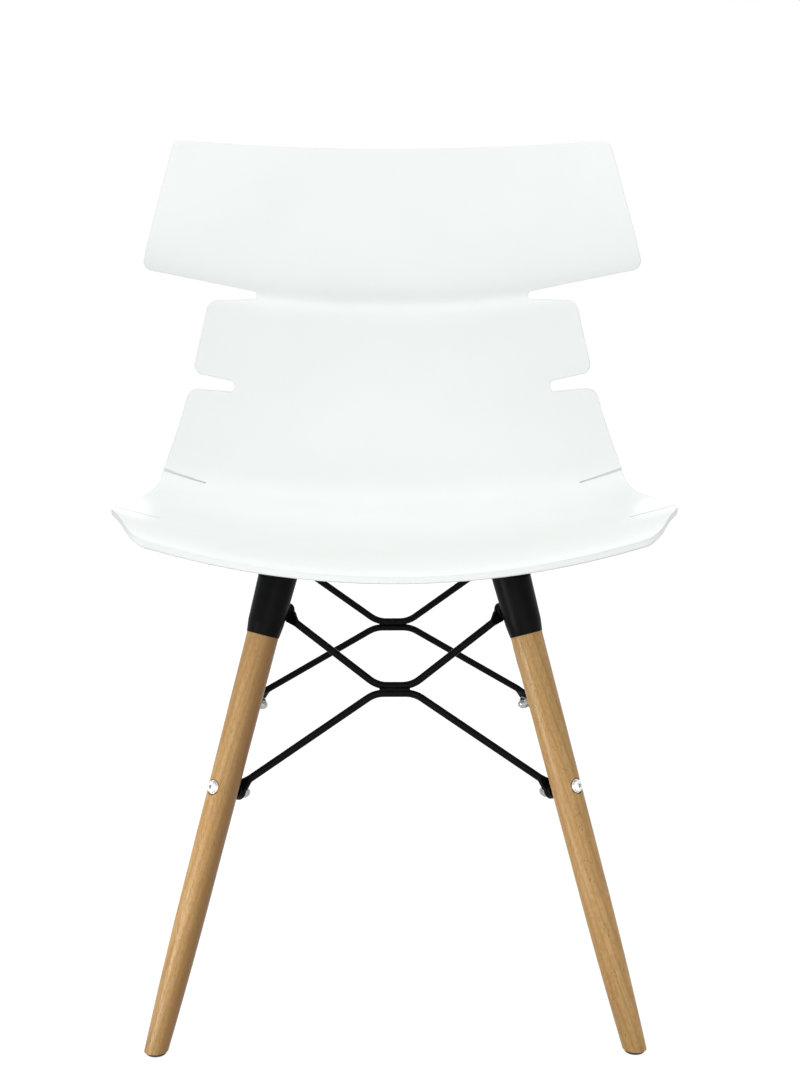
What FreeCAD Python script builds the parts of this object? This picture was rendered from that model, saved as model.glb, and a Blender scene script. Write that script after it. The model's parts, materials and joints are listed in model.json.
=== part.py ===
import FreeCAD, Part
import math
import os
from FreeCAD import Matrix, Vector

# Slotted plastic shell chair on four splayed wooden legs with braces of bent rod.
# Millimetres, +Z up, the chair faces -Y, the origin lies on the floor below the middle.

# Stance of the legs
foot_half_spacing = 214.2
splay = 0.265
glide_thickness = 3.0
bolt_height = 226.7
sleeve_top_height = 413.0
sleeve_rise = 53.0
eye_screw_drop = 29.0

# Turned leg
leg_radius_shoulder = 14.5
leg_radius_middle = 13.3
leg_radius_ankle = 12.3
leg_radius_foot = 9.9
leg_middle_height = 153.0
leg_ankle_height = 66.0
tenon_radius = 12.8
tenon_length = 44.0
tenon_chamfer = 1.5
bolt_hole_radius = 3.2
spot_face_radius = 7.2
spot_face_depth = 2.0

# Sleeve and mounting plate
sleeve_radius_rim = 14.9
sleeve_radius_neck = 16.3
sleeve_radius_top = 17.6
sleeve_neck_length = 11.0
plate_thickness = 4.0
plate_half_width = 17.0
plate_length = 42.1
pad_thickness = 2.5
pad_radius = 15.0

# Braces
rod_radius = 3.4
rod_gap = 0.15
flat_height = 308.2
lower_flat_half = 18.0
upper_flat_half = 15.7
rod_bend_radius = 26.0
eye_thickness = 3.2
eye_radius = 8.0
eye_neck_width = 12.0
eye_neck_length = 8.0
eye_blend_length = 8.0
weld_bead_radius = 2.1
weld_bead_place = 2.1
weld_bead_length = 24.0

# Fasteners
bolt_radius = 3.0
bolt_head_radius = 5.4
bolt_head_height = 3.4
bolt_head_wall_height = 1.5
bolt_head_brow_radius = 4.75
bolt_head_brow_height = 2.55
bolt_head_crown_radius = 3.25
bolt_socket_radius = 1.9
bolt_socket_depth = 2.0
washer_radius = 6.2
washer_thickness = 1.2
nut_radius = 6.2
nut_flange_thickness = 2.6
nut_hex_across_flats = 10.0
nut_hex_height = 3.6
nut_wall_depth = 6.0
eye_screw_radius = 2.5
eye_screw_length = 26.0
eye_screw_head_radius = 5.0
eye_screw_head_height = 2.8
eye_screw_head_wall_height = 1.1
eye_screw_head_brow_radius = 4.0
eye_screw_head_brow_height = 2.4
eye_screw_head_crown_radius = 2.5
eye_screw_socket_radius = 1.5
eye_screw_socket_depth = 1.7
insert_radius = 4.6
insert_length = 7.0
insert_groove_width = 1.4
insert_groove_depth = 0.6
nail_radius = 1.3
nail_length = 20.0
nail_head_radius = 3.0
nail_head_height = 1.0
glide_radius = 9.0
glide_chamfer = 0.6

# Fits
seat_gap = 0.05
slip_gap = 0.1
eye_gap = 0.5

# Moulded shell, whose heights are all above the tops of the sleeves
shell_thickness = 5.0
dish_half_width = 250.0
sheet_half_width = 266.0
boss_radius = 16.5
boss_draft = 1.5
rib_length = 28.0
rib_rise = 6.0
rib_thickness = 3.0

# Side profile of the shell's upper face, from the front lip to the head.
# Each point is its place on the middle line, then how far the sheet's side stands
# behind it and above it at the dish half width.
profile = [
    (-242, 13, 32, 39),
    (-236, 29, 31, 39),
    (-205, 35, 27, 38),
    (-160, 33, 14, 36),
    (-95, 27, 2, 36),
    (-25, 19, -6, 36),
    (45, 12, -14, 37),
    (98, 14, -26, 37),
    (128, 35, -36, 36),
    (142, 75, -42, 35),
    (151, 118, -44, 35),
    (157, 161, -44, 34),
    (161, 193, -44, 33),
    (163, 211, -44, 33),
    (175, 221, -44, 32),
    (167, 233, -44, 31),
    (178, 273, -43, 27),
    (200, 325, -40, 18),
    (230, 395, -36, 9),
]

# Plan of the seat: half widths and places from front to back
front_edge_place = -232.0
front_corner_half = 225.0
front_corner_place = -208.0
front_corner_radius = 26.0
front_band_half = 248.0
front_band_place = -150.0
front_side_radius = 60.0
wing_half_front = 249.0
wing_half_middle = 245.5
wing_middle_place = 5.0
wing_half_back = 229.0
wing_back_place = 92.0

# Front view of the back: half widths and heights from the bend to the head
lumbar_bottom_height = 63.0
lumbar_side_bow = 1.2
lumbar_half_top = 204.0
lumbar_top_height = 139.0
waist_half_bottom = 200.5
waist_bottom_height = 155.0
waist_half_top = 184.5
waist_top_height = 225.0
head_half_bottom = 249.0
head_bottom_height = 258.0
head_half_top = 221.0
head_top_height = 383.0
head_top_dip = 9.0
band_corner_radius = 10.0

# Slots
upper_slot_end = 137.5
upper_slot_end_radius = 3.0
upper_slot_lip_height = 232.5
middle_slot_end = 159.5
middle_slot_end_radius = 4.8
middle_slot_lip_height = 144.5
middle_slot_sill_height = 133.5
bend_slot_end = 188.0
bend_slot_inner_width = 1.5
bend_slot_outer_width = 3.6
bend_slot_place = 118.2
bend_slot_height = 29.7
bend_slot_angle = 39.0
bend_slot_slant = 0.14
front_slot_end = 209.0
front_slot_width = 1.6
front_slot_place = -122.0

# Far enough to pass any part of the chair, and to pass the sheet near a cut
REACH = 600.0
PAST = 150.0

# Near enough to count as the same place
CLOSE = 0.01

UP = Vector(0, 0, 1)
lean = math.hypot(splay, splay)
axis_stretch = math.sqrt(1 + lean * lean)
leg_axis = Vector(splay, splay, 1).normalize()
inward = Vector(1, 1, 0).normalize()
bolt_axis = (inward - UP * lean).normalize()
corner_names = ["front_left", "front_right", "rear_right", "rear_left"]
side_names = ["front", "right", "rear", "left"]


def axis_point(height):
    """Point of the front left leg's axis at a height above the floor."""
    place = splay * height - foot_half_spacing
    return Vector(place, place, height)


def placed(shape, origin, axis, across=Vector(1, -1, 0)):
    """Copy of a shape with its +Z carried to axis, its +X near to across, and moved to origin."""
    z = Vector(axis).normalize()
    x = (across - z * across.dot(z)).normalize()
    y = z.cross(x)
    copy = shape.copy()
    copy.Placement = FreeCAD.Placement(Matrix(x.x, y.x, z.x, origin.x, x.y, y.y, z.y, origin.y,
                                              x.z, y.z, z.z, origin.z, 0, 0, 0, 1))
    return copy


def rod_between(start, end, radius):
    way = end - start
    return Part.makeCylinder(radius, way.Length, start, way)


def turned(points):
    """Solid of revolution about Z from a closed outline of radius and height."""
    outline = [Vector(radius, 0, height) for radius, height in points]
    face = Part.Face(Part.makePolygon(outline + outline[:1]))
    return face.revolve(Vector(0, 0, 0), UP, 360)


def around(shape):
    """The four copies of a shape, one at each leg or side."""
    copies = []
    for quarter in range(4):
        copy = shape.copy()
        copy.rotate(Vector(0, 0, 0), UP, 90 * quarter)
        copies.append(copy)
    return copies


def save(shape, name):
    if not shape.isValid():
        print("NOT VALID", name)
    shape.exportStep("parts/" + name + ".step")


def save_at_corners(shape, name):
    for copy, corner in zip(around(shape), corner_names):
        save(copy, name + "_" + corner)


def save_group(shape, name):
    save(Part.makeCompound(around(shape)), name)


def along_leg(height):
    """Distance along the leg from the floor to a height."""
    return height * axis_stretch


def slab(low, high):
    """Everything between two heights."""
    return Part.makeBox(2 * REACH, 2 * REACH, high - low, Vector(-REACH, -REACH, low))


def make_leg():
    """Turned leg with a tenon, its foot cut level, bored for the bolt and the eye screw."""
    foot = along_leg(glide_thickness)
    low = foot - leg_radius_shoulder
    middle = along_leg(leg_middle_height)
    ankle = along_leg(leg_ankle_height)
    shoulder = along_leg(leg_shoulder_height)
    tip = shoulder + tenon_length
    belly = Part.BSplineCurve()
    belly.interpolate([Vector(leg_radius_foot, 0, low), Vector(leg_radius_ankle, 0, ankle),
                       Vector(leg_radius_middle, 0, middle)])
    corners = [Vector(leg_radius_middle, 0, middle), Vector(leg_radius_shoulder, 0, shoulder),
               Vector(tenon_radius, 0, shoulder), Vector(tenon_radius, 0, tip - tenon_chamfer),
               Vector(tenon_radius - tenon_chamfer, 0, tip), Vector(0, 0, tip), Vector(0, 0, low),
               Vector(leg_radius_foot, 0, low)]
    edges = [belly.toShape()]
    edges += [Part.makeLine(a, b) for a, b in zip(corners, corners[1:])]
    face = Part.Face(Part.Wire(Part.__sortEdges__(edges)))
    blank = placed(face.revolve(Vector(0, 0, 0), UP, 360), axis_point(0), leg_axis)
    blank = blank.cut(slab(-REACH, glide_thickness))
    hub = axis_point(bolt_height)
    hole = rod_between(hub - bolt_axis * REACH, hub + bolt_axis * REACH, bolt_hole_radius)
    seat = rod_between(hub - bolt_axis * spot_face_place, hub - bolt_axis * REACH,
                       spot_face_radius)
    nail_hole = Part.makeCylinder(nail_radius + seat_gap, nail_length, axis_point(glide_thickness))
    return blank.cut([hole, seat, eye_screw_hole(), nail_hole])


def eye_screw_hole():
    """Bore of the eye screw in the tenon and in the sleeve's inner wall."""
    start = axis_point(eye_screw_height) + bolt_axis * (eye_stack_end - eye_screw_length)
    return rod_between(start - bolt_axis * slip_gap, start + bolt_axis * eye_screw_length,
                       eye_screw_radius + seat_gap)


def make_sleeve():
    """Conical sleeve with a parallel bore, drawn in at its rim and cut level under the plate."""
    rim = along_leg(leg_shoulder_height)
    neck = rim + sleeve_neck_length
    top = along_leg(sleeve_top_height)
    past = top + sleeve_radius_top
    bore = tenon_radius + slip_gap
    slope = (sleeve_radius_top - sleeve_radius_neck) / (top - neck)
    outline = [(bore, rim), (sleeve_radius_rim, rim), (sleeve_radius_neck, neck),
               (sleeve_radius_neck + slope * (past - neck), past), (bore, past)]
    sleeve = placed(turned(outline), axis_point(0), leg_axis)
    sleeve = sleeve.cut(slab(sleeve_top_height, sleeve_top_height + REACH))
    return sleeve.cut(eye_screw_hole())


def plate_screw_point(height):
    """Point of the axis of the screw into the shell at a height above the floor."""
    point = axis_point(sleeve_top_height) + inward * plate_length
    point.z = height
    return point


def make_plate():
    """Steel plate with round ends, from the sleeve to the screw into the shell."""
    middle = axis_point(sleeve_top_height)
    far = plate_screw_point(sleeve_top_height)
    way = far - middle
    ends = [Part.makeCylinder(plate_half_width, plate_thickness, end) for end in (middle, far)]
    bar = Part.makeBox(way.Length, 2 * plate_half_width, plate_thickness,
                       Vector(0, -plate_half_width, 0))
    bar = placed(bar, middle, UP, way)
    hole = Part.makeCylinder(bolt_hole_radius, plate_thickness, far)
    return bar.fuse(ends).removeSplitter().cut(hole)


def make_pad():
    pad = Part.makeCylinder(pad_radius, pad_thickness, plate_screw_point(plate_top))
    return pad.cut(Part.makeCylinder(bolt_hole_radius, pad_thickness, plate_screw_point(plate_top)))


def make_glide():
    """Round glide with a recess for the nail head."""
    middle = axis_point(glide_thickness)
    middle.z = 0
    glide = Part.makeCylinder(glide_radius, glide_thickness, middle)
    glide = glide.makeChamfer(glide_chamfer, [edge for edge in glide.Edges
                                              if edge.BoundBox.ZMax < CLOSE])
    recess = Part.makeCylinder(nail_head_radius + slip_gap, glide_thickness / 2, middle)
    hole = Part.makeCylinder(nail_radius + seat_gap, glide_thickness, middle)
    return glide.cut([recess, hole])


def make_nail():
    head_top = glide_thickness / 2
    middle = axis_point(glide_thickness)
    middle.z = head_top - nail_head_height
    head = Part.makeCylinder(nail_head_radius, nail_head_height, middle)
    shank = Part.makeCylinder(nail_radius, nail_length, middle)
    return head.fuse(shank).removeSplitter()


def make_bolt():
    """Pan head bolt through the leg, drawn along +Z from the head's seat, with a hex socket."""
    length = spot_face_place + washer_thickness + nut_seat + nut_wall_depth
    seat = axis_point(bolt_height) - bolt_axis * (spot_face_place + washer_thickness)
    return placed(pan_head_screw(length), seat, bolt_axis)


def pan_head_screw(length):
    """Plain shank along +Z with a domed head below its seat at the origin, and a hex socket."""
    head = turned([(0, -bolt_head_height), (bolt_head_crown_radius, -bolt_head_height),
                   (bolt_head_brow_radius, -bolt_head_brow_height),
                   (bolt_head_radius, -bolt_head_wall_height), (bolt_head_radius, 0), (0, 0)])
    socket = hexagon(2 * bolt_socket_radius, bolt_socket_depth)
    socket.translate(Vector(0, 0, -bolt_head_height))
    shank = Part.makeCylinder(bolt_radius, length)
    return head.fuse(shank).removeSplitter().cut(socket)


def hexagon(across_flats, height):
    """Upright hexagonal prism."""
    reach = across_flats / math.sqrt(3)
    corners = [Vector(reach * math.cos(math.radians(60 * step)),
                      reach * math.sin(math.radians(60 * step)), 0) for step in range(7)]
    return Part.Face(Part.makePolygon(corners)).extrude(UP * height)


def make_washer():
    start = axis_point(bolt_height) - bolt_axis * spot_face_place
    end = start - bolt_axis * washer_thickness
    return rod_between(start, end, washer_radius).cut(rod_between(start, end, bolt_hole_radius))


def make_dome_nut():
    """Closed dome nut with a flange, drawn along +Z from its seat."""
    flange = Part.makeCylinder(nut_radius, nut_flange_thickness)
    body = hexagon(nut_hex_across_flats, nut_flange_thickness + nut_hex_height)
    dome = Part.makeSphere(nut_hex_across_flats / 2, Vector(0, 0, nut_flange_thickness + nut_hex_height))
    bore = Part.makeCylinder(bolt_radius + seat_gap, nut_wall_depth + slip_gap)
    nut = flange.fuse([body, dome]).removeSplitter().cut(bore)
    return placed(nut, axis_point(bolt_height) + bolt_axis * nut_seat, bolt_axis)


def make_eye_screw():
    """Black pan head screw from the inner side through both eyes into the tenon."""
    shank = Part.makeCylinder(eye_screw_radius, eye_screw_length)
    head = turned([(0, 0), (eye_screw_head_radius, 0),
                   (eye_screw_head_radius, eye_screw_head_wall_height),
                   (eye_screw_head_brow_radius, eye_screw_head_brow_height),
                   (eye_screw_head_crown_radius, eye_screw_head_height), (0, eye_screw_head_height)])
    head.translate(Vector(0, 0, eye_screw_length))
    socket = hexagon(2 * eye_screw_socket_radius, eye_screw_socket_depth)
    socket_floor = eye_screw_length + eye_screw_head_height - eye_screw_socket_depth
    socket.translate(Vector(0, 0, socket_floor))
    screw = shank.fuse(head).removeSplitter().cut(socket)
    start = axis_point(eye_screw_height) + bolt_axis * (eye_stack_end - eye_screw_length)
    return placed(screw, start, bolt_axis)


def make_shell_screw():
    """Pan head screw from below through plate and pad into the insert."""
    screw = pan_head_screw(plate_thickness + pad_thickness + insert_length - slip_gap)
    screw.translate(plate_screw_point(sleeve_top_height))
    return screw


def make_insert():
    """Threaded brass insert with a waist groove."""
    low = (insert_length - insert_groove_width) / 2
    high = low + insert_groove_width
    waist = insert_radius - insert_groove_depth
    bore = bolt_radius + seat_gap
    insert = turned([(bore, 0), (insert_radius, 0), (insert_radius, low), (waist, low),
                     (waist, high), (insert_radius, high), (insert_radius, insert_length),
                     (bore, insert_length)])
    insert.translate(plate_screw_point(boss_bottom))
    return insert


def brace_point(x, height, inset):
    """Point in the sloping plane of the front braces."""
    return Vector(x, splay * height - foot_half_spacing + inset, height)


def mirrored(shape):
    return shape.mirror(Vector(0, 0, 0), Vector(1, 0, 0))


def four_corners(origin, axis, across, half_width, half_height):
    """Corners of a rectangle square to an axis, the first one repeated at the end."""
    z = Vector(axis).normalize()
    x = (across - z * across.dot(z)).normalize() * half_width
    y = z.cross(x).normalize() * half_height
    corners = [origin + x + y, origin - x + y, origin - x - y, origin + x - y]
    return corners + corners[:1]


def flat_section(origin, axis, across, half_width, half_height):
    corners = four_corners(origin, axis, across, half_width, half_height)
    return Part.makePolygon(corners)


def round_section(origin, axis, across, radius):
    """Circle in four arcs that start at the corners of the square inside it."""
    side = radius * math.sqrt(0.5)
    corners = four_corners(origin, axis, across, side, side)
    edges = []
    for start, end in zip(corners, corners[1:]):
        outer = origin + ((start + end) * 0.5 - origin).normalize() * radius
        edges.append(Part.Arc(start, outer, end).toShape())
    return Part.Wire(edges)


def make_rod(eye_height, eye_place, half_flat, flat, inset):
    """Bent rod of one side with a flattened eye at each end, from left to right.

    eye_place is how far the middle of the eye's thickness stands from the leg's axis.
    """
    hub = axis_point(eye_height) + bolt_axis * eye_place
    bend = brace_point(-half_flat, flat, inset)
    pull = (bend - hub).normalize()
    lie = (pull - bolt_axis * pull.dot(bolt_axis)).normalize()
    neck_end = hub + lie * eye_neck_length
    rod_start = neck_end + (lie + pull).normalize() * eye_blend_length
    half = eye_thickness / 2
    disc = rod_between(hub - bolt_axis * half, hub + bolt_axis * half, eye_radius)
    neck = Part.makeBox(eye_neck_length, eye_neck_width, eye_thickness,
                        Vector(0, -eye_neck_width / 2, -half))
    neck = placed(neck, hub, bolt_axis, lie)
    run = (bend - rod_start).normalize()
    blend = Part.makeLoft([
        flat_section(neck_end, lie, bolt_axis, half, eye_neck_width / 2),
        round_section(rod_start, run, bolt_axis, rod_radius)], True, True)
    turn = run.getAngle(Vector(1, 0, 0))
    setback = rod_bend_radius * math.tan(turn / 2)
    arc_start = bend - run * setback
    arc_end = bend + Vector(setback, 0, 0)
    chord_middle = (arc_start + arc_end) * 0.5
    sagitta = rod_bend_radius * (1 / math.cos(turn / 2) - 1)
    arc_middle = bend + (chord_middle - bend).normalize() * sagitta
    middle = Vector(0, bend.y, bend.z)
    path = Part.Wire([Part.makeLine(rod_start, arc_start),
                      Part.Arc(arc_start, arc_middle, arc_end).toShape(),
                      Part.makeLine(arc_end, middle)])
    section = Part.Wire(Part.makeCircle(rod_radius, rod_start, run))
    wire = path.makePipeShell([section], True, False)
    left = disc.fuse([neck, blend, wire])
    left = left.cut(rod_between(hub - bolt_axis * half, hub + bolt_axis * half, bolt_hole_radius))
    return left.fuse(mirrored(left)).removeSplitter()


def make_bead(inset):
    """One weld bead in the groove between the two flats of the front braces."""
    groove = brace_point(0, flat_height, inset)
    normal = Vector(0, 1, -splay).normalize()
    middle = groove - normal * weld_bead_place
    half = Vector(weld_bead_length / 2, 0, 0)
    bead = rod_between(middle - half, middle + half, weld_bead_radius)
    ends = [Part.makeSphere(weld_bead_radius, end) for end in (middle - half, middle + half)]
    return bead.fuse(ends).removeSplitter()


def sheet_surface(offset):
    """Dished surface of the shell, parted from the upper face by offset along the profile's normals."""
    reach = (sheet_half_width / dish_half_width) ** 2
    rows = []
    for index, (place, height, side_back, side_rise) in enumerate(profile):
        before = profile[max(index - 1, 0)]
        after = profile[min(index + 1, len(profile) - 1)]
        tangent = Vector(0, after[0] - before[0], after[1] - before[1]).normalize()
        normal = Vector(0, -tangent.z, tangent.y)
        middle = Vector(0, place, height) - normal * offset
        shift = Vector(0, side_back, side_rise) * reach
        half = Vector(sheet_half_width, 0, 0)
        rows.append([middle + shift - half, middle - shift, middle + shift + half])
    spans = len(profile) - 3
    surface = Part.BSplineSurface()
    surface.buildFromPolesMultsKnots(rows, [4] + [1] * (spans - 1) + [4], [3, 3],
                                     list(range(spans + 1)), [0, 1], False, False, 3, 2)
    return surface


def make_sheet():
    """Whole dished sheet before its outline is cut."""
    upper = sheet_surface(0).toShape()
    lower = sheet_surface(shell_thickness).toShape()
    walls = [Part.makeRuledSurface(a, b) for a, b in zip(upper.Edges, lower.Edges)]
    sheet = Part.Solid(Part.makeShell([upper, lower] + walls))
    if sheet.Volume < 0:
        sheet.reverse()
    return sheet


def outlined(half, front_via):
    """Closed edges from a left half outline of corners and its mirror image.

    A corner is its point and radius, with a third entry where a curved edge leads to it.
    Returns the edges and the corners to be rounded.
    """
    def flip(point):
        return Vector(-point.x, point.y, point.z)

    edges = []
    rounds = []
    for start, end in zip(half, half[1:]):
        if len(end) > 2:
            edges.append(Part.Arc(start[0], end[2], end[0]).toShape())
            edges.append(Part.Arc(flip(start[0]), flip(end[2]), flip(end[0])).toShape())
        else:
            edges.append(Part.makeLine(start[0], end[0]))
            edges.append(Part.makeLine(flip(start[0]), flip(end[0])))
    for corner in half:
        if corner[1]:
            rounds.append((corner[0], corner[1]))
            rounds.append((flip(corner[0]), corner[1]))
    last = half[-1][0]
    first = half[0][0]
    edges.append(Part.Arc(last, front_via, flip(last)).toShape())
    edges.append(Part.makeLine(first, flip(first)))
    return edges, rounds


def rounded_prism(edges, rounds, sweep):
    """Prism of an outline with some of its upright corners rounded."""
    prism = Part.Face(Part.Wire(Part.__sortEdges__(edges))).extrude(sweep)
    way = Vector(sweep).normalize()
    for point, radius in rounds:
        near = [edge for edge in prism.Edges
                if edge.Length > REACH / 2
                and (edge.CenterOfMass - point).cross(way).Length < CLOSE]
        prism = prism.makeFillet(radius, near)
    return prism


def seat_prism():
    """Plan outline of the seat, swept upwards."""
    def at(x, y):
        return Vector(-x, y, 0)

    half = [(at(wing_half_back, wing_back_place + PAST), 0),
            (at(wing_half_back, wing_back_place), 0),
            (at(wing_half_front, front_slot_place), 0, at(wing_half_middle, wing_middle_place)),
            (at(front_band_half, front_band_place), front_side_radius),
            (at(front_corner_half, front_corner_place), front_corner_radius)]
    edges, rounds = outlined(half, at(0, front_edge_place))
    return rounded_prism(edges, rounds, UP * REACH)


def back_prism():
    """Front outline of the back with its open slots, swept backwards."""
    def at(x, z):
        return Vector(-x, -REACH, z)

    low = lumbar_bottom_height - PAST
    half = [(at(wing_half_back, low), 0),
            (at(wing_half_back, lumbar_bottom_height), 0),
            (at(lumbar_half_top, lumbar_top_height), band_corner_radius,
             at((wing_half_back + lumbar_half_top) / 2 - lumbar_side_bow,
                (lumbar_bottom_height + lumbar_top_height) / 2)),
            (at(middle_slot_end, middle_slot_sill_height), middle_slot_end_radius),
            (at(middle_slot_end, middle_slot_lip_height), middle_slot_end_radius),
            (at(waist_half_bottom, waist_bottom_height), band_corner_radius),
            (at(waist_half_top, waist_top_height), band_corner_radius),
            (at(upper_slot_end, waist_top_height), upper_slot_end_radius),
            (at(upper_slot_end, upper_slot_lip_height), upper_slot_end_radius),
            (at(head_half_bottom, head_bottom_height), band_corner_radius),
            (at(head_half_top, head_top_height), band_corner_radius)]
    edges, rounds = outlined(half, at(0, head_top_height - head_top_dip))
    return rounded_prism(edges, rounds, Vector(0, 2 * REACH, 0))


def bend_frame(shape):
    """Shape drawn with X across, Y up the bend and Z square to the sheet, set at the bend slots."""
    angle = math.radians(bend_slot_angle)
    square = Vector(0, -math.sin(angle), math.cos(angle))
    origin = Vector(0, bend_slot_place, bend_slot_height)
    return placed(shape, origin, square, Vector(1, 0, 0))


def slot_tool(outer, outer_half, inner, inner_half, height):
    """Upright cutter from an outer to an inner point, with a round inner end."""
    across = Vector(0, 1, 0)
    tip = inner + (inner - outer).normalize() * inner_half
    corners = [inner - across * inner_half, outer - across * outer_half,
               outer + across * outer_half, inner + across * inner_half]
    edges = [Part.makeLine(start, end) for start, end in zip(corners, corners[1:])]
    edges.append(Part.Arc(corners[-1], tip, corners[0]).toShape())
    return Part.Face(Part.Wire(edges)).extrude(UP * height)


def bend_slot():
    """Thin wedge slot between the lumbar band and the wing, on the left."""
    outer = sheet_half_width
    drop = bend_slot_slant * (wing_half_back - bend_slot_end)
    lift = bend_slot_slant * (outer - wing_half_back)
    inner_half = bend_slot_inner_width / 2
    outer_half = bend_slot_outer_width / 2
    wedge = slot_tool(Vector(-outer, lift, -PAST), outer_half,
                      Vector(-bend_slot_end, -drop, -PAST), inner_half, 2 * PAST)
    return bend_frame(wedge)


def front_slot():
    """Fine slot between the wing and the front band, on the left."""
    half = front_slot_width / 2
    return slot_tool(Vector(-sheet_half_width, front_slot_place, 0), half,
                     Vector(-front_slot_end, front_slot_place, 0), half, REACH)


def make_boss(screw_point):
    """Boss with four ribs under the seat, reaching up past the sheet."""
    boss = Part.makeCone(boss_radius, boss_radius + boss_draft, PAST, screw_point)
    for quarter in range(4):
        rib = Part.makeBox(rib_length, rib_thickness, PAST,
                           Vector(0, -rib_thickness / 2, rib_rise))
        rib.rotate(Vector(0, 0, 0), UP, 45 + 90 * quarter)
        rib.translate(screw_point)
        boss = boss.fuse(rib)
    return boss


def make_shell():
    """Moulded sheet with its outline, slots, bosses and ribs."""
    above = bend_frame(Part.makeBox(2 * REACH, REACH, 2 * REACH, Vector(-REACH, 0, -REACH)))
    below = bend_frame(Part.makeBox(2 * REACH, REACH, 2 * REACH, Vector(-REACH, -REACH, -REACH)))
    envelope = seat_prism().common(below).fuse(back_prism().common(above))
    slots = [bend_slot(), front_slot()]
    slots += [mirrored(slot) for slot in slots]
    sheet = make_sheet().common(envelope.cut(slots))
    room_above = sheet_surface(shell_thickness / 2).toShape().extrude(UP * REACH)
    for shape in (sheet, room_above):
        shape.translate(UP * sleeve_top_height)
    boss = make_boss(plate_screw_point(boss_bottom))
    pocket = Part.makeCylinder(insert_radius + seat_gap, insert_length + slip_gap,
                               plate_screw_point(boss_bottom))
    bosses = [copy.cut(room_above) for copy in around(boss)]
    return sheet.fuse(bosses).cut(around(pocket))


leg_shoulder_height = sleeve_top_height - sleeve_rise
eye_screw_height = sleeve_top_height - eye_screw_drop

leg_taper = (leg_radius_shoulder - leg_radius_middle) / (leg_shoulder_height - leg_middle_height)
leg_radius_at_bolt = leg_radius_middle + leg_taper * (bolt_height - leg_middle_height)
spot_face_place = leg_radius_at_bolt - spot_face_depth
first_eye = leg_radius_at_bolt + seat_gap + eye_thickness / 2
second_eye = first_eye + eye_thickness + eye_gap
nut_seat = second_eye + eye_thickness / 2 + slip_gap

sleeve_run = along_leg(sleeve_top_height - leg_shoulder_height) - sleeve_neck_length
sleeve_taper = (sleeve_radius_top - sleeve_radius_neck) / sleeve_run
eye_top = along_leg(eye_screw_height - leg_shoulder_height) - sleeve_neck_length + eye_radius
sleeve_radius_at_eye = sleeve_radius_neck + sleeve_taper * eye_top
first_top_eye = sleeve_radius_at_eye + seat_gap + eye_thickness / 2
second_top_eye = first_top_eye + eye_thickness + eye_gap
eye_stack_end = second_top_eye + eye_thickness / 2 + slip_gap

plate_top = sleeve_top_height + plate_thickness
boss_bottom = plate_top + pad_thickness

flat_rise = (rod_radius + rod_gap / 2) / math.hypot(1, splay)
eye_to_inset = bolt_axis.y - splay * bolt_axis.z

os.makedirs("parts", exist_ok=True)

save(make_shell(), "seat_shell")
save_at_corners(make_leg(), "leg")
save_at_corners(make_sleeve(), "leg_sleeve")
save_at_corners(make_plate(), "mounting_plate")
save_at_corners(make_pad(), "rubber_pad")
save_at_corners(make_glide(), "foot_glide")

beads = []
for quarter, side in enumerate(side_names):
    outer_eye = side in ("front", "rear")
    lower_eye = second_eye if outer_eye else first_eye
    upper_eye = second_top_eye if outer_eye else first_top_eye
    inset = lower_eye * eye_to_inset
    lower = make_rod(bolt_height, lower_eye, lower_flat_half, flat_height - flat_rise, inset)
    upper = make_rod(eye_screw_height, upper_eye, upper_flat_half, flat_height + flat_rise, inset)
    bead = make_bead(inset).cut([lower, upper])
    save(around(lower)[quarter], side + "_lower_rod")
    save(around(upper)[quarter], side + "_upper_rod")
    beads.append(around(bead)[quarter])
save(Part.makeCompound(beads), "weld_beads")

save_group(make_bolt(), "leg_bolts")
save_group(make_washer(), "leg_washers")
save_group(make_dome_nut(), "leg_dome_nuts")
save_group(make_eye_screw(), "eye_screws")
save_group(make_shell_screw(), "shell_screws")
save_group(make_insert(), "shell_inserts")
save_group(make_nail(), "glide_nails")
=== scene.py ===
import json
import math

import bpy
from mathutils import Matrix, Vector

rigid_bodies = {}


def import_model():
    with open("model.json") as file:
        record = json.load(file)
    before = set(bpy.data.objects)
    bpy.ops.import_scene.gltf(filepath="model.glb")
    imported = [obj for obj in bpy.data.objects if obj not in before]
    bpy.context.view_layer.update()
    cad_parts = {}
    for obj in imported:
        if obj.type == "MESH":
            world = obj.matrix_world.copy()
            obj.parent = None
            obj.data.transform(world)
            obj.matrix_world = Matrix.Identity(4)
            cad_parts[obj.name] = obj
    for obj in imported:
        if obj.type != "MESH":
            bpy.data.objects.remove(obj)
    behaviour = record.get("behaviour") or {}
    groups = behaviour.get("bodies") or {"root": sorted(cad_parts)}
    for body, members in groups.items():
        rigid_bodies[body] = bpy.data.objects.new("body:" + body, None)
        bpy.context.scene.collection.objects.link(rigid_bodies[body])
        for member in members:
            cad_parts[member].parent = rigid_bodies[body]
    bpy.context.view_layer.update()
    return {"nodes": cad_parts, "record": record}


# Looks of a moulded plastic shell chair on turned beech legs with black bent rod braces.
# Metres, +Z up, the chair faces -Y. Colours are linear. A pair of levels says where a
# pattern starts to count and where it counts in full.

# Stance of the legs, as the solids have it: where their axes meet the floor, and how far
# they lean each way for a unit of height
foot_half_spacing = 0.2142
splay = 0.265
corner_signs = {"front_left": (-1, -1), "front_right": (1, -1),
                "rear_right": (1, 1), "rear_left": (-1, 1)}

# White moulded plastic
shell_white = (0.876, 0.909, 0.894)
shell_shade = (0.858, 0.895, 0.878)
shell_shade_size = 0.09
shell_shade_levels = (0.3, 0.75)
shell_roughness = 0.42
shell_roughness_change = 0.08
shell_roughness_size = 0.03
shell_specular = 0.42
shell_grain_size = 0.0009
shell_grain_depth = 0.000012
shell_edge_radius = 0.0014

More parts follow.
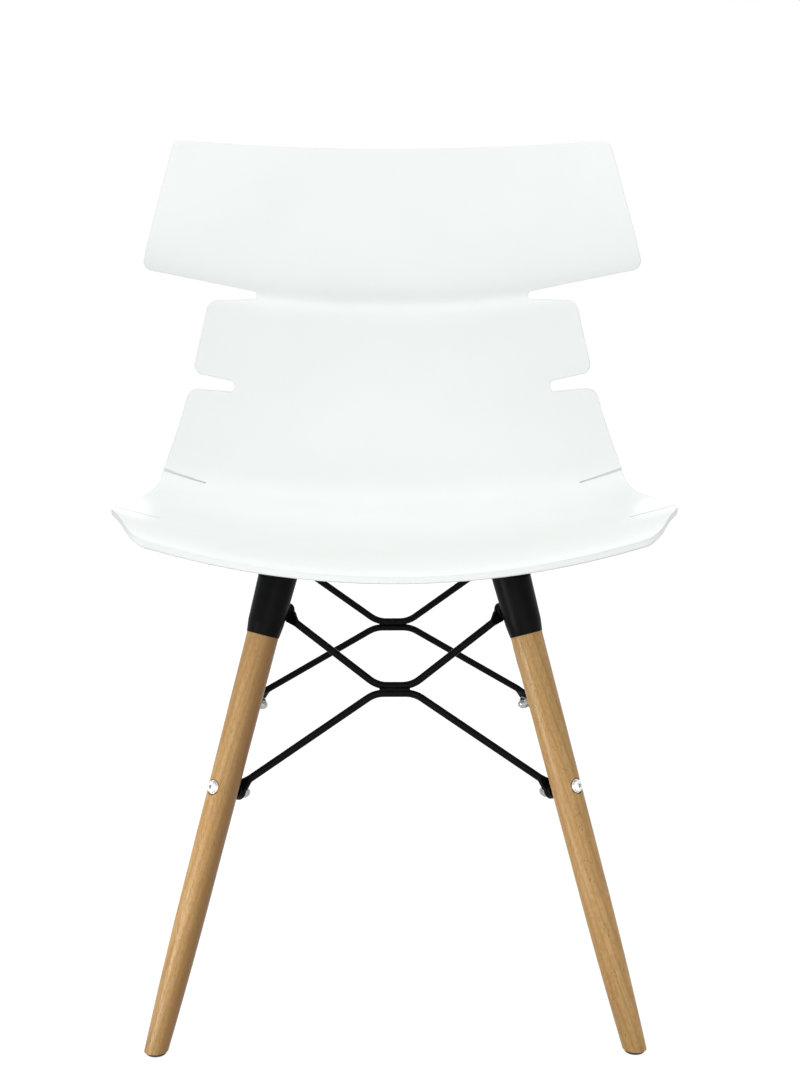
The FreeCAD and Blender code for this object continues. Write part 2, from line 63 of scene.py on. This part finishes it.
# Lacquered beech
beech_pale = (0.448, 0.275, 0.100)
beech_warm = (0.400, 0.228, 0.071)
# Heart wood tone, which on the front legs is partly painted shade
beech_heart_and_shade = (0.215, 0.105, 0.028)
beech_line = (0.250, 0.120, 0.033)
beech_fleck = (0.150, 0.056, 0.012)
beech_roughness = 0.43
beech_roughness_change = 0.12
beech_specular = 0.38
beech_relief_depth = 0.00030
beech_edge_radius = 0.0006

# Scales that draw a pattern out along the leg, softly or into fine lines
soft_grain = (1.0, 1.0, 0.10)
fine_grain = (1.0, 1.0, 0.03)

# Growth rings about the heart of the log, which lies beside the leg
ring_spacing = 0.0056
ring_lean = 0.07
ring_wander = 0.008
ring_wander_width = 0.022
ring_waver = 0.0011
ring_waver_width = 0.004
ring_line_levels = (0.55, 1.0)
ring_line_share = 0.34
heart_distance = 0.055
# Heart wood darkens each leg towards one side; on the front legs this is partly painted shade
heart_and_shade_reach = (0.041, 0.064)
heart_and_shade_wander = 0.004

# Bands, streaks, mottles and flecks of the beech
band_width = 0.011
band_levels = (0.3, 0.7)
streak_width = 0.0022
streak_levels = (0.45, 0.75)
streak_share = 0.22
mottle_width = 0.0020
mottle_length = 0.0046
mottle_levels = (0.44, 0.62)
mottle_share = 0.34
fleck_width = 0.0024
fleck_length = 0.0056
fleck_edge_levels = (0.10, 0.32)
fleck_cluster_width = 0.0072
fleck_cluster_levels = (0.48, 0.60)
fleck_dip = 0.3

# Wood of each leg: the way to the heart in radians about the leg, how dark the heart wood and the
# flecks show, and how far the pattern is slid along the leg. On the front legs the dark heart side
# is partly painted shade
leg_woods = {
    "front_left": (-0.1, 0.95, 0.45, 0.0),
    "front_right": (2.9, 0.15, 0.75, 1.7),
    "rear_right": (2.4, 0.5, 0.6, 3.4),
    "rear_left": (-2.2, 0.4, 0.6, 5.1),
}

# Black powder coat
coat_black = (0.0020, 0.0021, 0.0023)
coat_black_worn = (0.0036, 0.0038, 0.0040)
coat_wear_size = 0.02
coat_wear_levels = (0.45, 0.8)
coat_roughness = 0.42
coat_roughness_change = 0.10
coat_specular = 0.06
coat_speckle_size = 0.0006
coat_speckle_depth = 0.000008

# Bright zinc, the duller nickel of the dome nuts, which is darkened further as painted shade of
# the dark reflections they show, and brass
zinc_light = (0.92, 0.925, 0.935)
zinc_dull = (0.80, 0.81, 0.82)
zinc_roughness = 0.34
# Nickel of the dome nuts: a duller metal, darkened further as painted shade of dark reflections
nickel_with_shade_light = (0.44, 0.435, 0.42)
nickel_with_shade_dull = (0.34, 0.335, 0.32)
nickel_roughness = 0.30
brass_light = (0.78, 0.58, 0.28)
brass_dull = (0.52, 0.37, 0.16)
brass_roughness = 0.32
metal_blotch_size = 0.004
metal_blotch_levels = (0.35, 0.75)
metal_roughness_change = 0.12
metal_mark_size = 0.0006
metal_mark_squeeze = (1.0, 1.0, 6.0)
metal_mark_depth = 0.000008
metal_edge_radius = 0.0003
# Painted shade: the metal turns dark in its hollows, such as the sockets of the bolt heads
painted_hollow_shade = (0.035, 0.034, 0.036)
hollow_shade_width = 0.0022
hollow_shade_levels = (0.30, 0.62)

# Rubber of the pads and plastic of the glides
rubber_black = (0.014, 0.014, 0.015)
rubber_grey = (0.030, 0.030, 0.031)
rubber_roughness = 0.75
glide_brown = (0.050, 0.040, 0.034)
glide_grey = (0.082, 0.070, 0.062)
glide_roughness = 0.55
dust_size = 0.006
dust_levels = (0.4, 0.8)
dull_roughness_change = 0.10
dull_specular = 0.35
dull_grain_size = 0.0007
dull_grain_depth = 0.00003
dull_edge_radius = 0.0004

# Camera, its angles in radians, its lens and sensor in millimetres
camera_place = (-0.01228, -1.7701, 0.7954)
camera_pitch = 0.211118
camera_turn = -0.010348
camera_lens = 62.36
camera_sensor = 36.0

# Floor and backdrop: the light that they give the chair, and what the floor shows where it
# is seen, which is an even glow and a share of the light and shadow that fall on it
white = (1.0, 1.0, 1.0)
floor_half = 4.0
floor_bounce = 0.75
floor_glow = 0.87
floor_shadow_share = 0.25
sky_strength = 0.57

# Each lamp: its name, place, aim, width, height, spread in degrees and power
lamps = [
    ("front_lamp", (0.0, -3.4, 1.9), (0.0, 0.0, 0.45), 2.4, 2.4, 180, 16.0),
    ("low_front_lamp", (0.0, -3.2, 0.45), (0.0, 0.0, 0.42), 3.0, 0.7, 180, 14.0),
    ("left_strip", (-1.0, -0.72, 0.16), (-0.05, -0.19, 0.19), 0.22, 0.34, 30, 0.36),
    ("right_strip", (0.7, -0.75, 0.19), (0.19, -0.19, 0.19), 0.2, 0.34, 30, 0.04),
    ("top_lamp", (0.0, -0.1, 3.1), (0.0, 0.0, 0.45), 2.4, 2.4, 180, 32.0),
    ("back_lamp", (0.0, 3.0, 0.26), (0.0, 0.1, 0.45), 2.6, 0.44, 180, 22.0),
]


class Wire:
    """One socket of a material's nodes, on which Python's operators add Math nodes."""

    def __init__(self, finish, socket):
        self.finish = finish
        self.socket = socket

    def math(self, operation, *others):
        return self.finish.add("ShaderNodeMath", {"operation": operation}, [self, *others])

    def __add__(self, other):
        return self.math("ADD", other)

    def __radd__(self, other):
        return self.math("ADD", other)

    def __sub__(self, other):
        return self.math("SUBTRACT", other)

    def __rsub__(self, other):
        return self.finish.add("ShaderNodeMath", {"operation": "SUBTRACT"}, [other, self])

    def __mul__(self, other):
        return self.math("MULTIPLY", other)

    def __rmul__(self, other):
        return self.math("MULTIPLY", other)

    def between(self, levels):
        """0 below the first level, 1 above the second and smooth between them."""
        low, high = levels
        return self.finish.add("ShaderNodeMapRange", {"interpolation_type": "SMOOTHSTEP"},
                               {"Value": self, "From Min": low, "From Max": high})

    def about(self, middle, change):
        """A value about a middle, which changes by this much as the socket goes from 0 to 1."""
        return self * change + (middle - change / 2)


class Finish:
    """A material with one surface shader, whose nodes are added by add()."""

    def __init__(self, name):
        self.material = bpy.data.materials.new(name)
        self.material.use_nodes = True
        self.tree = self.material.node_tree
        self.tree.nodes.clear()
        self.end = self.tree.nodes.new("ShaderNodeOutputMaterial")

    def join(self, value, socket):
        """Links a wire to a socket, or sets the socket to a number, a place or a colour."""
        if isinstance(value, Wire):
            self.tree.links.new(value.socket, socket)
        elif hasattr(socket.default_value, "__len__") and len(socket.default_value) == 4:
            socket.default_value = (*value, 1.0)
        else:
            socket.default_value = value

    def add(self, kind, settings, inputs, output=0):
        """A node of a kind, its settings first, then its inputs by place or by name."""
        node = self.tree.nodes.new(kind)
        for key, value in settings.items():
            setattr(node, key, value)
        pairs = inputs.items() if isinstance(inputs, dict) else enumerate(inputs)
        for key, value in pairs:
            self.join(value, node.inputs[key])
        return Wire(self, node.outputs[output])

    def place(self):
        """Place on the object, in metres."""
        return self.add("ShaderNodeTexCoord", {}, {}, "Object")

    def scaled(self, place, scale):
        return self.add("ShaderNodeVectorMath", {"operation": "MULTIPLY"}, [place, scale])

    def noise(self, place, size, detail=2.0, roughness=0.5):
        """Noise from 0 to 1 with lumps of about a size."""
        return self.add("ShaderNodeTexNoise", {},
                        {"Vector": place, "Scale": 1 / size, "Detail": detail,
                         "Roughness": roughness})

    def blend(self, share, first, second):
        """First colour where share is 0, second where it is 1."""
        share_input, first_colour, second_colour, colour_output = 0, 6, 7, 2
        return self.add("ShaderNodeMix", {"data_type": "RGBA"},
                        {share_input: share, first_colour: first, second_colour: second},
                        colour_output)

    def soft_edges(self, radius):
        """Normal that turns over the piece's edges as if they were rounded."""
        return self.add("ShaderNodeBevel", {"samples": 4}, {"Radius": radius})

    def bump(self, height, depth, normal=None):
        """Normal roughened by a height from 0 to 1, in metres of depth."""
        inputs = {"Strength": 1.0, "Distance": depth, "Height": height}
        if normal:
            inputs["Normal"] = normal
        return self.add("ShaderNodeBump", {}, inputs)

    def end_in(self, shader):
        self.join(shader, self.end.inputs["Surface"])

    def surface(self, **inputs):
        """Ends the material in the surface shader with these inputs, named as its sockets."""
        named = {key.replace("_", " "): value for key, value in inputs.items()}
        self.end_in(self.add("ShaderNodeBsdfPrincipled", {}, named))
        return self.material


def plastic_finish():
    """Satin white plastic with a fine spark-eroded grain."""
    finish = Finish("white_moulded_plastic")
    place = finish.place()
    shade = finish.noise(place, shell_shade_size, detail=3.0)
    grain = finish.noise(place, shell_grain_size, roughness=0.6)
    gloss = finish.noise(place, shell_roughness_size, detail=4.0)
    return finish.surface(
        Base_Color=finish.blend(shade.between(shell_shade_levels), shell_white, shell_shade),
        Roughness=gloss.about(shell_roughness, shell_roughness_change),
        Normal=finish.bump(grain, shell_grain_depth, finish.soft_edges(shell_edge_radius)),
        Specular_IOR_Level=shell_specular)


def along_leg(finish, corner, slide):
    """Place seen from a leg: +Z along its axis, slid upwards from the foot."""
    side, depth = corner_signs[corner]
    foot = Vector((side * foot_half_spacing, depth * foot_half_spacing, 0.0))
    axis = Vector((-side * splay, -depth * splay, 1.0))
    turn = axis.rotation_difference(Vector((0.0, 0.0, 1.0)))
    shift = turn @ foot
    along = finish.add("ShaderNodeMapping", {"vector_type": "POINT"},
                       {"Vector": finish.place(), "Location": -shift,
                        "Rotation": turn.to_euler()})
    return finish.add("ShaderNodeVectorMath", {"operation": "ADD"}, [along, (0.0, 0.0, slide)])


def fleck_pattern(finish, along):
    """Short dark flecks in loose clusters, drawn out along the leg."""
    cells = finish.scaled(along, (1.0, 1.0, fleck_width / fleck_length))
    spots = finish.add("ShaderNodeTexVoronoi", {"feature": "F1"},
                       {"Vector": cells, "Scale": 1 / fleck_width, "Randomness": 1.0}, "Distance")
    clusters = finish.noise(cells, fleck_cluster_width, detail=1.0)
    return (1.0 - spots.between(fleck_edge_levels)) * clusters.between(fleck_cluster_levels)


def beech_finish(corner):
    """Lacquered beech: darker towards the heart, partly as painted shade on the front legs, with
    growth lines, mottles and short flecks.
    """
    heart_and_shade_side, heart_and_shade_share, fleck_share, slide = leg_woods[corner]
    finish = Finish("lacquered_beech_" + corner)
    along = along_leg(finish, corner, slide)
    wander = finish.noise(finish.scaled(along, soft_grain), ring_wander_width)
    waver = finish.noise(finish.scaled(along, fine_grain), ring_waver_width, detail=3.0)
    streaks = finish.noise(finish.scaled(along, fine_grain), streak_width, 4.0, 0.65)
    bands = finish.noise(finish.scaled(along, soft_grain), band_width)
    mottles = finish.noise(finish.scaled(along, (1.0, 1.0, mottle_width / mottle_length)),
                           mottle_width, roughness=0.6)
    flecks = fleck_pattern(finish, along)

    heart = (heart_distance * math.cos(heart_and_shade_side), heart_distance * math.sin(heart_and_shade_side), 0.0)
    across = finish.scaled(along, (1.0, 1.0, 0.0))
    reach = finish.add("ShaderNodeVectorMath", {"operation": "DISTANCE"}, [across, heart], "Value")
    lean = finish.add("ShaderNodeSeparateXYZ", {}, [along], "Z") * ring_lean
    ring_reach = reach + lean + wander * ring_wander + waver * ring_waver
    wave = (ring_reach * (2 * math.pi / ring_spacing)).math("SINE") * 0.5 + 0.5
    # Darker towards the heart: real heart wood, and on the front legs partly painted shade
    heart_wood_and_shade = 1.0 - (reach + wander * heart_and_shade_wander).between(heart_and_shade_reach)

    colour = finish.blend(bands.between(band_levels), beech_pale, beech_warm)
    for share, darker in (
            (heart_wood_and_shade * heart_and_shade_share, beech_heart_and_shade),
            (wave.between(ring_line_levels) * ring_line_share, beech_line),
            (streaks.between(streak_levels) * streak_share, beech_line),
            (mottles.between(mottle_levels) * mottle_share, beech_line),
            (flecks * fleck_share, beech_fleck)):
        colour = finish.blend(share, colour, darker)
    relief = mottles - flecks * fleck_dip
    return finish.surface(
        Base_Color=colour,
        Roughness=streaks.about(beech_roughness, beech_roughness_change),
        Normal=finish.bump(relief, beech_relief_depth, finish.soft_edges(beech_edge_radius)),
        Specular_IOR_Level=beech_specular)


def coat_finish():
    """Black powder coat with a fine speckle, worn a little grey."""
    finish = Finish("black_powder_coat")
    place = finish.place()
    speckle = finish.noise(place, coat_speckle_size, 3.0, 0.6)
    wear = finish.noise(place, coat_wear_size, detail=4.0)
    return finish.surface(
        Base_Color=finish.blend(wear.between(coat_wear_levels), coat_black, coat_black_worn),
        Roughness=wear.about(coat_roughness, coat_roughness_change),
        Normal=finish.bump(speckle, coat_speckle_depth),
        Specular_IOR_Level=coat_specular)


def metal_finish(name, light, dull, roughness):
    """Plated or bare metal with soft blotches, fine turning marks and painted shade in its
    hollows.
    """
    finish = Finish(name)
    place = finish.place()
    blotches = finish.noise(place, metal_blotch_size, detail=3.0)
    marks = finish.noise(finish.scaled(place, metal_mark_squeeze), metal_mark_size)
    # Painted shade, dark where the metal is closed in by hollows and joints
    hollow_shade_openness = finish.add("ShaderNodeAmbientOcclusion", {"samples": 8},
                          {"Distance": hollow_shade_width}, "AO")
    clean = finish.blend(blotches.between(metal_blotch_levels), light, dull)
    return finish.surface(
        Base_Color=finish.blend(hollow_shade_openness.between(hollow_shade_levels), painted_hollow_shade, clean),
        Metallic=1.0,
        Roughness=blotches.about(roughness, metal_roughness_change),
        Normal=finish.bump(marks, metal_mark_depth, finish.soft_edges(metal_edge_radius)))


def dull_finish(name, dark, pale, roughness):
    """Rubber or plain plastic with dusty patches."""
    finish = Finish(name)
    place = finish.place()
    dust = finish.noise(place, dust_size, detail=4.0)
    grain = finish.noise(place, dull_grain_size)
    return finish.surface(
        Base_Color=finish.blend(dust.between(dust_levels), dark, pale),
        Roughness=dust.about(roughness, dull_roughness_change),
        Normal=finish.bump(grain, dull_grain_depth, finish.soft_edges(dull_edge_radius)),
        Specular_IOR_Level=dull_specular)


def dress(node, material):
    """Gives a CAD node its material."""
    node.data.materials.clear()
    node.data.materials.append(material)


def dress_chair(nodes):
    """Gives every node the finish of its slot in the record, and the dome nuts a duller nickel
    that is partly painted shade.
    """
    finishes = {
        "shell_plastic": plastic_finish(),
        "black_steel": coat_finish(),
        "zinc_steel": metal_finish("bright_zinc", zinc_light, zinc_dull, zinc_roughness),
        "nickel": metal_finish("dull_nickel_with_painted_shade", nickel_with_shade_light, nickel_with_shade_dull, nickel_roughness),
        "brass": metal_finish("plain_brass", brass_light, brass_dull, brass_roughness),
        "rubber": dull_finish("black_rubber", rubber_black, rubber_grey, rubber_roughness),
        "glide_plastic": dull_finish("glide_plastic", glide_brown, glide_grey, glide_roughness),
    }
    slots = {part["node"]: part["material_slot"] for part in frame["record"]["subparts"]}
    for name, node in nodes.items():
        if slots[name] == "beech":
            dress(node, beech_finish(name.removeprefix("leg_")))
        # The dome nuts: a duller metal, darkened further as painted shade of dark reflections
        elif name == "leg_dome_nuts":
            dress(node, finishes["nickel"])
        else:
            dress(node, finishes[slots[name]])


def seen_directly(finish):
    """1 for what the camera sees, also in a reflection or through glass."""
    camera, glossy, glass = [finish.add("ShaderNodeLightPath", {}, {}, ray) for ray in
                             ("Is Camera Ray", "Is Glossy Ray", "Is Transmission Ray")]
    return camera.math("MAXIMUM", glossy).math("MAXIMUM", glass)


def floor_finish():
    """Matt pale floor that shows as white with the chair's soft shadow, and clear from below."""
    finish = Finish("pale_floor")
    matt = finish.add("ShaderNodeBsdfDiffuse", {}, {"Color": (floor_bounce,) * 3})
    shadow = finish.add("ShaderNodeBsdfDiffuse", {}, {"Color": (floor_shadow_share,) * 3})
    glow = finish.add("ShaderNodeEmission", {}, {"Color": white, "Strength": floor_glow})
    seen = finish.add("ShaderNodeAddShader", {}, [shadow, glow])
    above = finish.add("ShaderNodeMixShader", {}, [seen_directly(finish), matt, seen])
    clear = finish.add("ShaderNodeBsdfTransparent", {}, {})
    from_below = finish.add("ShaderNodeNewGeometry", {}, {}, "Backfacing")
    finish.end_in(finish.add("ShaderNodeMixShader", {}, [from_below, above, clear]))
    return finish.material


def make_floor():
    mesh = bpy.data.meshes.new("floor")
    corners = [(-floor_half, -floor_half, 0.0), (floor_half, -floor_half, 0.0),
               (floor_half, floor_half, 0.0), (-floor_half, floor_half, 0.0)]
    mesh.from_pydata(corners, [], [(0, 1, 2, 3)])
    mesh.materials.append(floor_finish())
    floor = bpy.data.objects.new("floor", mesh)
    bpy.context.scene.collection.objects.link(floor)


class Sky(Finish):
    """The world's nodes, which are added as a material's are."""

    def __init__(self):
        world = bpy.data.worlds.new("studio")
        bpy.context.scene.world = world
        world.use_nodes = True
        self.tree = world.node_tree
        self.tree.nodes.clear()
        self.end = self.tree.nodes.new("ShaderNodeOutputWorld")


def make_sky():
    """White backdrop that gives less light than it shows."""
    sky = Sky()
    strength = seen_directly(sky) * (1.0 - sky_strength) + sky_strength
    sky.end_in(sky.add("ShaderNodeBackground", {}, {"Color": white, "Strength": strength}))


def make_lamps():
    for name, place, aim, width, height, spread, power in lamps:
        light = bpy.data.lights.new(name, "AREA")
        light.shape = "RECTANGLE"
        light.size = width
        light.size_y = height
        light.spread = math.radians(spread)
        light.energy = power
        lamp = bpy.data.objects.new(name, light)
        bpy.context.scene.collection.objects.link(lamp)
        lamp.location = place
        lamp.visible_camera = False
        lamp.rotation_euler = (Vector(aim) - lamp.location).to_track_quat("-Z", "Y").to_euler()


def make_camera():
    data = bpy.data.cameras.new("camera")
    data.sensor_width = camera_sensor
    data.lens = camera_lens
    camera = bpy.data.objects.new("camera", data)
    bpy.context.scene.collection.objects.link(camera)
    camera.location = camera_place
    camera.rotation_euler = (math.pi / 2 - camera_pitch, 0.0, camera_turn)
    bpy.context.scene.camera = camera


for leftover in list(bpy.data.objects):
    bpy.data.objects.remove(leftover)
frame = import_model()
dress_chair(frame["nodes"])
make_floor()
make_sky()
make_lamps()
make_camera()
bpy.context.scene.view_settings.view_transform = "Standard"
